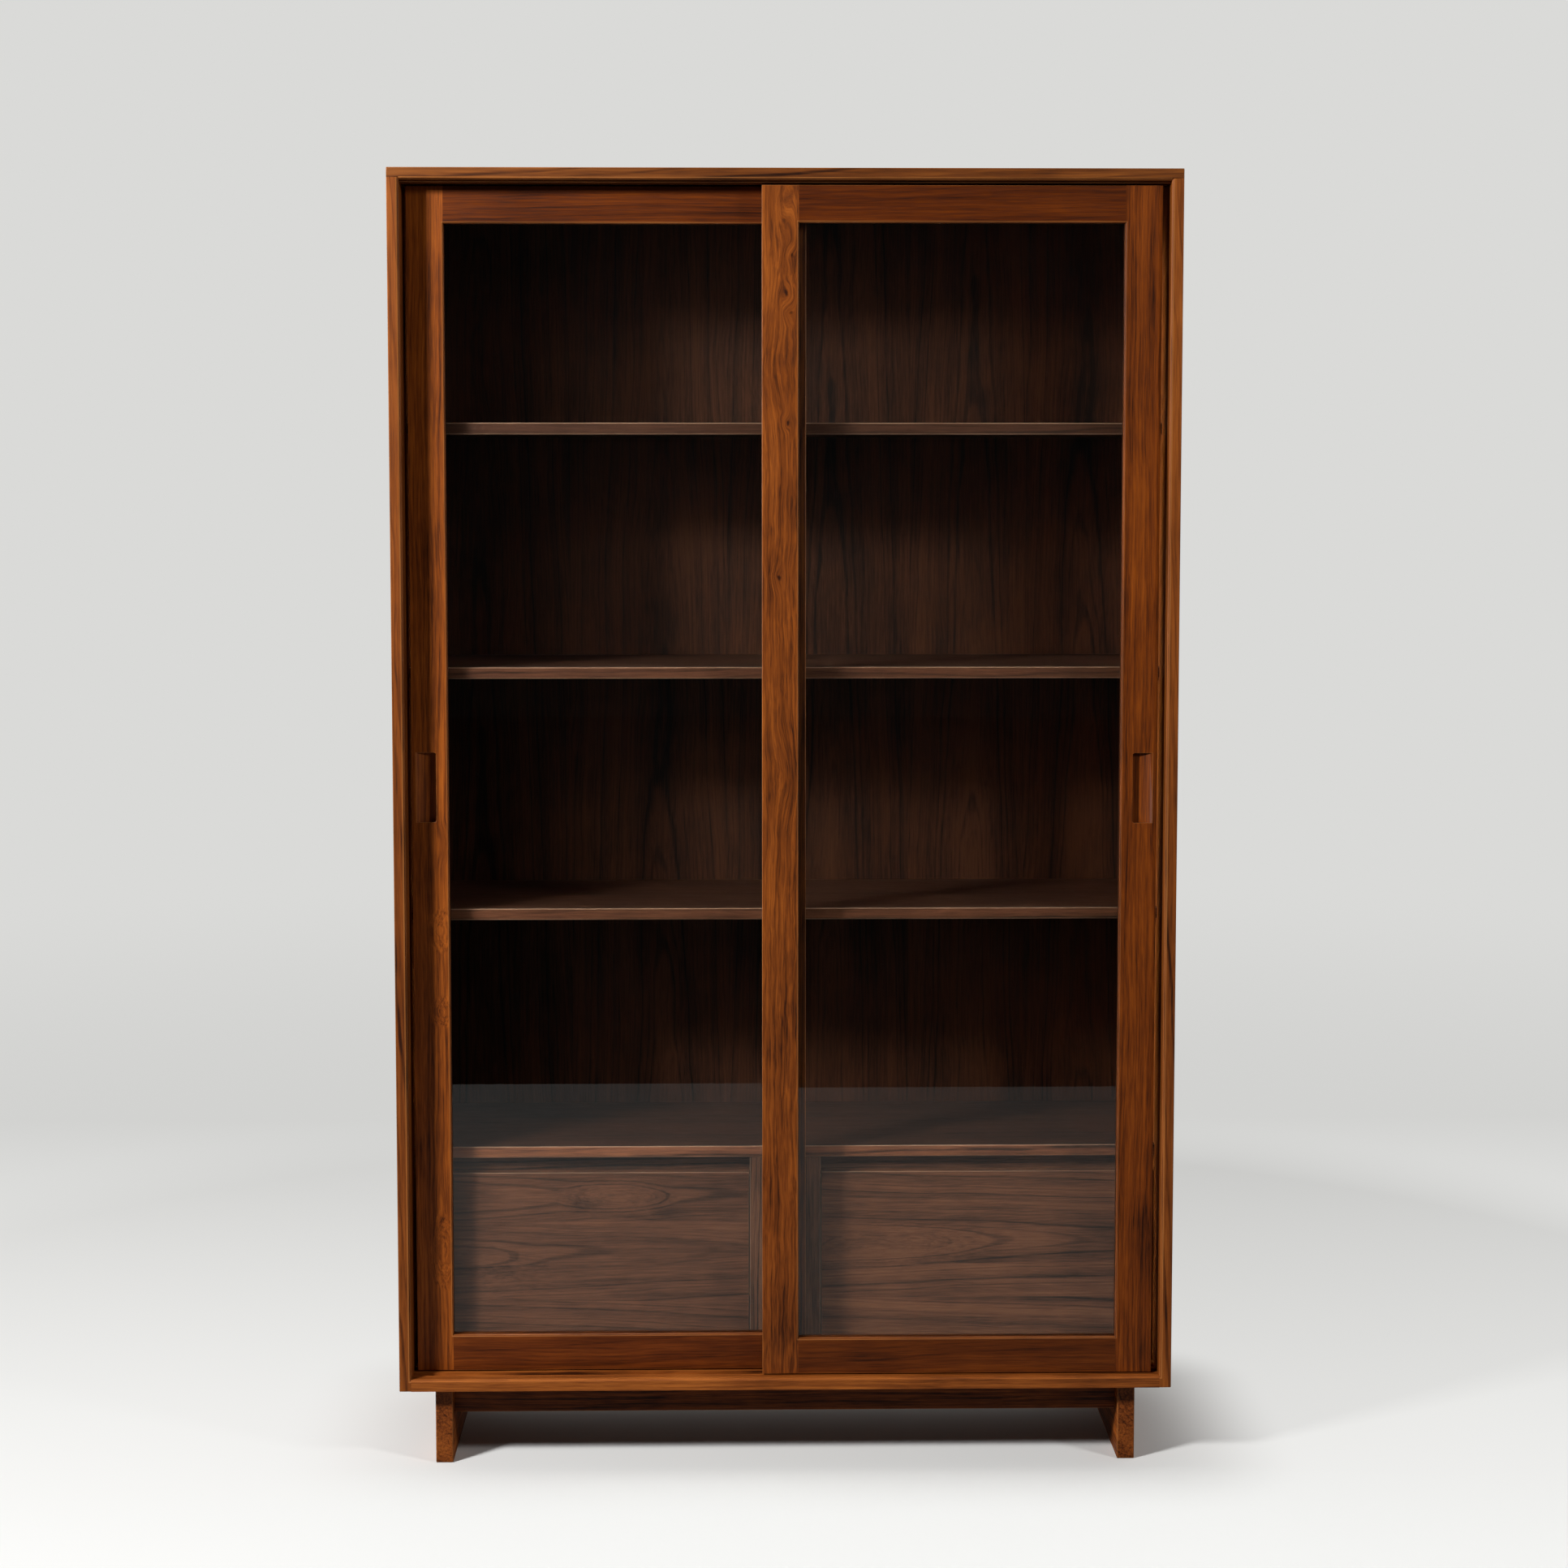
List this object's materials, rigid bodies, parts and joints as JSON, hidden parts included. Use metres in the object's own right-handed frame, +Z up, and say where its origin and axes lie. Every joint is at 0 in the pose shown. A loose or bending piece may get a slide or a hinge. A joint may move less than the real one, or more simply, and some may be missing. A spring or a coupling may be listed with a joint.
{
  "type": "bookcase with sliding doors",
  "caption": "Tall walnut bookcase with sliding framed glass doors, shelves, hidden drawers and a raised panel base.",
  "frame": {"origin": "on the floor, under the middle of the case", "axes": "+Z up, the front with its doors faces -Y, +X to the right seen from the front"},
  "size_m": [1.2, 0.41, 2],
  "materials": {
    "walnut_case": "oiled walnut, satin",
    "walnut_door": "oiled walnut, satin, reddish",
    "walnut_shelf": "oiled walnut, satin, pale",
    "walnut_inside": "oiled walnut, satin, dark",
    "beech": "waxed beech, matt",
    "window_glass": "clear flat glass, polished",
    "zinc_steel": "zinc plated, satin"
  },
  "bodies": {
    "case": {"top_board": "walnut_case", "bottom_board": "walnut_case", "left_side": "walnut_case", "right_side": "walnut_case", "back_panel": "walnut_inside", "deck_board": "walnut_shelf", "lower_shelf": "walnut_shelf", "middle_shelf": "walnut_shelf", "upper_shelf": "walnut_shelf", "centre_post": "walnut_inside", "left_divider": "walnut_inside", "right_divider": "walnut_inside", "left_deck_rail": "walnut_inside", "right_deck_rail": "walnut_inside", "left_drawer_outer_runner": "beech", "left_drawer_inner_runner": "beech", "right_drawer_outer_runner": "beech", "right_drawer_inner_runner": "beech", "left_leg_panel": "walnut_case", "right_leg_panel": "walnut_case", "front_stretcher": "walnut_case", "rear_stretcher": "walnut_case", "leg_bolt_1": "zinc_steel", "leg_bolt_2": "zinc_steel", "leg_bolt_3": "zinc_steel", "leg_bolt_4": "zinc_steel"},
    "left_door": {"left_door_left_stile": "walnut_door", "left_door_right_stile": "walnut_door", "left_door_bottom_rail": "walnut_door", "left_door_top_rail": "walnut_door", "left_door_glass": "window_glass", "left_door_left_bead": "walnut_door", "left_door_right_bead": "walnut_door", "left_door_bottom_bead": "walnut_door", "left_door_top_bead": "walnut_door"},
    "right_door": {"right_door_left_stile": "walnut_door", "right_door_right_stile": "walnut_door", "right_door_bottom_rail": "walnut_door", "right_door_top_rail": "walnut_door", "right_door_glass": "window_glass", "right_door_left_bead": "walnut_door", "right_door_right_bead": "walnut_door", "right_door_bottom_bead": "walnut_door", "right_door_top_bead": "walnut_door"},
    "left_drawer": {"left_drawer_front": "walnut_inside", "left_drawer_inner_side": "beech", "left_drawer_outer_side": "beech", "left_drawer_back": "beech", "left_drawer_bottom": "beech"},
    "right_drawer": {"right_drawer_front": "walnut_inside", "right_drawer_inner_side": "beech", "right_drawer_outer_side": "beech", "right_drawer_back": "beech", "right_drawer_bottom": "beech"}
  },
  "joints": [
    {"name": "left_door_slide", "type": "slide", "parent": "case", "child": "left_door", "axis": [1, 0, 0], "range_m": [-0.0055, 0.55]},
    {"name": "right_door_slide", "type": "slide", "parent": "case", "child": "right_door", "axis": [-1, 0, 0], "range_m": [-0.011, 0.545]},
    {"name": "left_drawer_slide", "type": "slide", "parent": "case", "child": "left_drawer", "axis": [0, -1, 0], "range_m": [0, 0.013]},
    {"name": "right_drawer_slide", "type": "slide", "parent": "case", "child": "right_drawer", "axis": [0, -1, 0], "range_m": [0, 0.013]}
  ]
}
